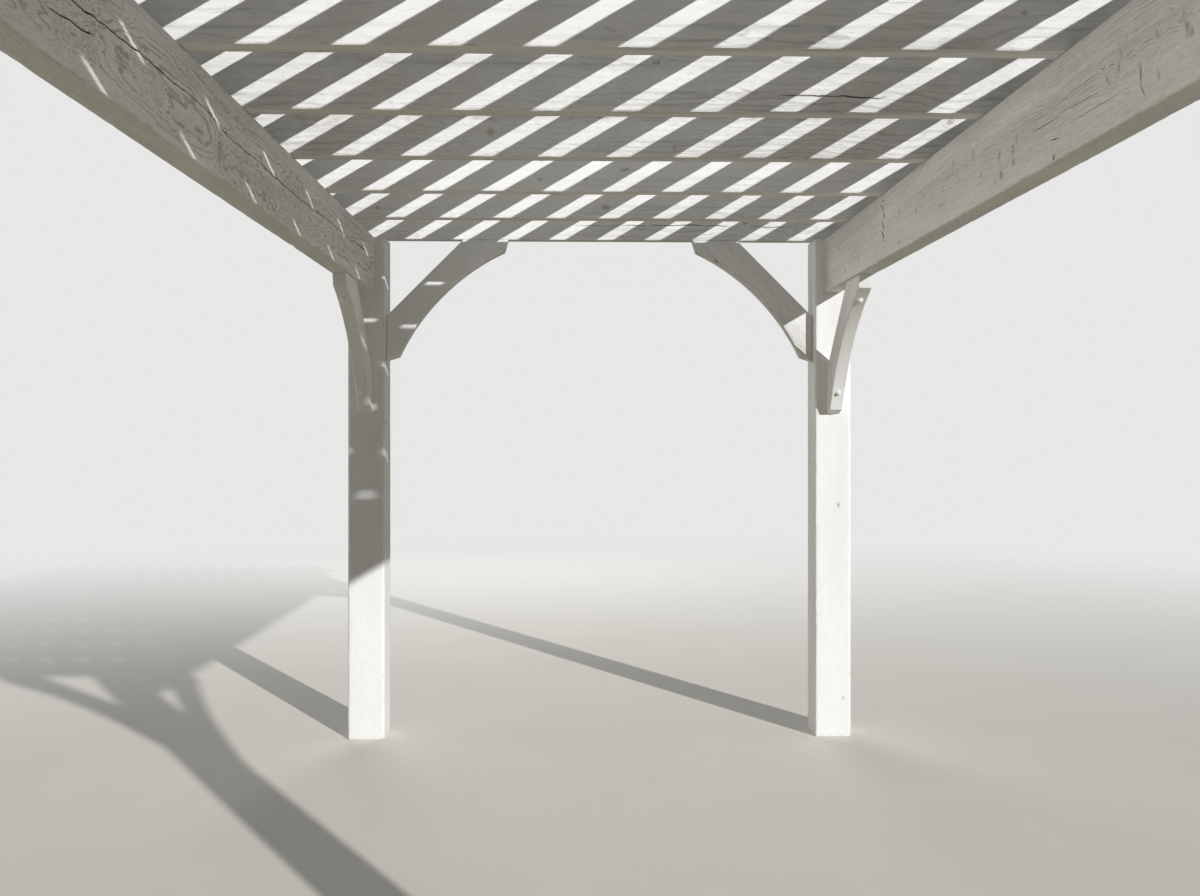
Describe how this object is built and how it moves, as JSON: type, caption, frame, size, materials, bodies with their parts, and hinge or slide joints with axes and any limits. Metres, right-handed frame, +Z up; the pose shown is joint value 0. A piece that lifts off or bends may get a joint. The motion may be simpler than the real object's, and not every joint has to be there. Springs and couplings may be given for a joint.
{
  "type": "pergola",
  "caption": "Free-standing timber pergola with square posts, long beams, coved cross rafters, lengthways roof slats and curved knee braces.",
  "frame": {"origin": "on the ground, at the centre of the plan", "axes": "+X across the pergola to the right, +Y along it, away from the picture's camera, +Z up"},
  "size_m": [3.66, 5.85, 2.99],
  "materials": {
    "frame_timber": "matte white-washed stain on rough-sawn timber",
    "roof_timber": "matte white-washed stain on rough-sawn timber"
  },
  "bodies": {
    "root": {"post_front_left": "frame_timber", "post_front_right": "frame_timber", "post_back_left": "frame_timber", "post_back_right": "frame_timber", "beam_left": "frame_timber", "beam_right": "frame_timber", "cross_brace_front_left": "frame_timber", "long_brace_front_left": "frame_timber", "cross_brace_front_right": "frame_timber", "long_brace_front_right": "frame_timber", "cross_brace_back_left": "frame_timber", "long_brace_back_left": "frame_timber", "cross_brace_back_right": "frame_timber", "long_brace_back_right": "frame_timber", "rafter_01": "roof_timber", "rafter_02": "roof_timber", "rafter_03": "roof_timber", "rafter_04": "roof_timber", "rafter_05": "roof_timber", "rafter_06": "roof_timber", "rafter_07": "roof_timber", "rafter_08": "roof_timber", "rafter_09": "roof_timber", "rafter_10": "roof_timber", "slat_01": "roof_timber", "slat_02": "roof_timber", "slat_03": "roof_timber", "slat_04": "roof_timber", "slat_05": "roof_timber", "slat_06": "roof_timber", "slat_07": "roof_timber", "slat_08": "roof_timber", "slat_09": "roof_timber", "slat_10": "roof_timber", "slat_11": "roof_timber", "slat_12": "roof_timber", "slat_13": "roof_timber"}
  },
  "joints": []
}
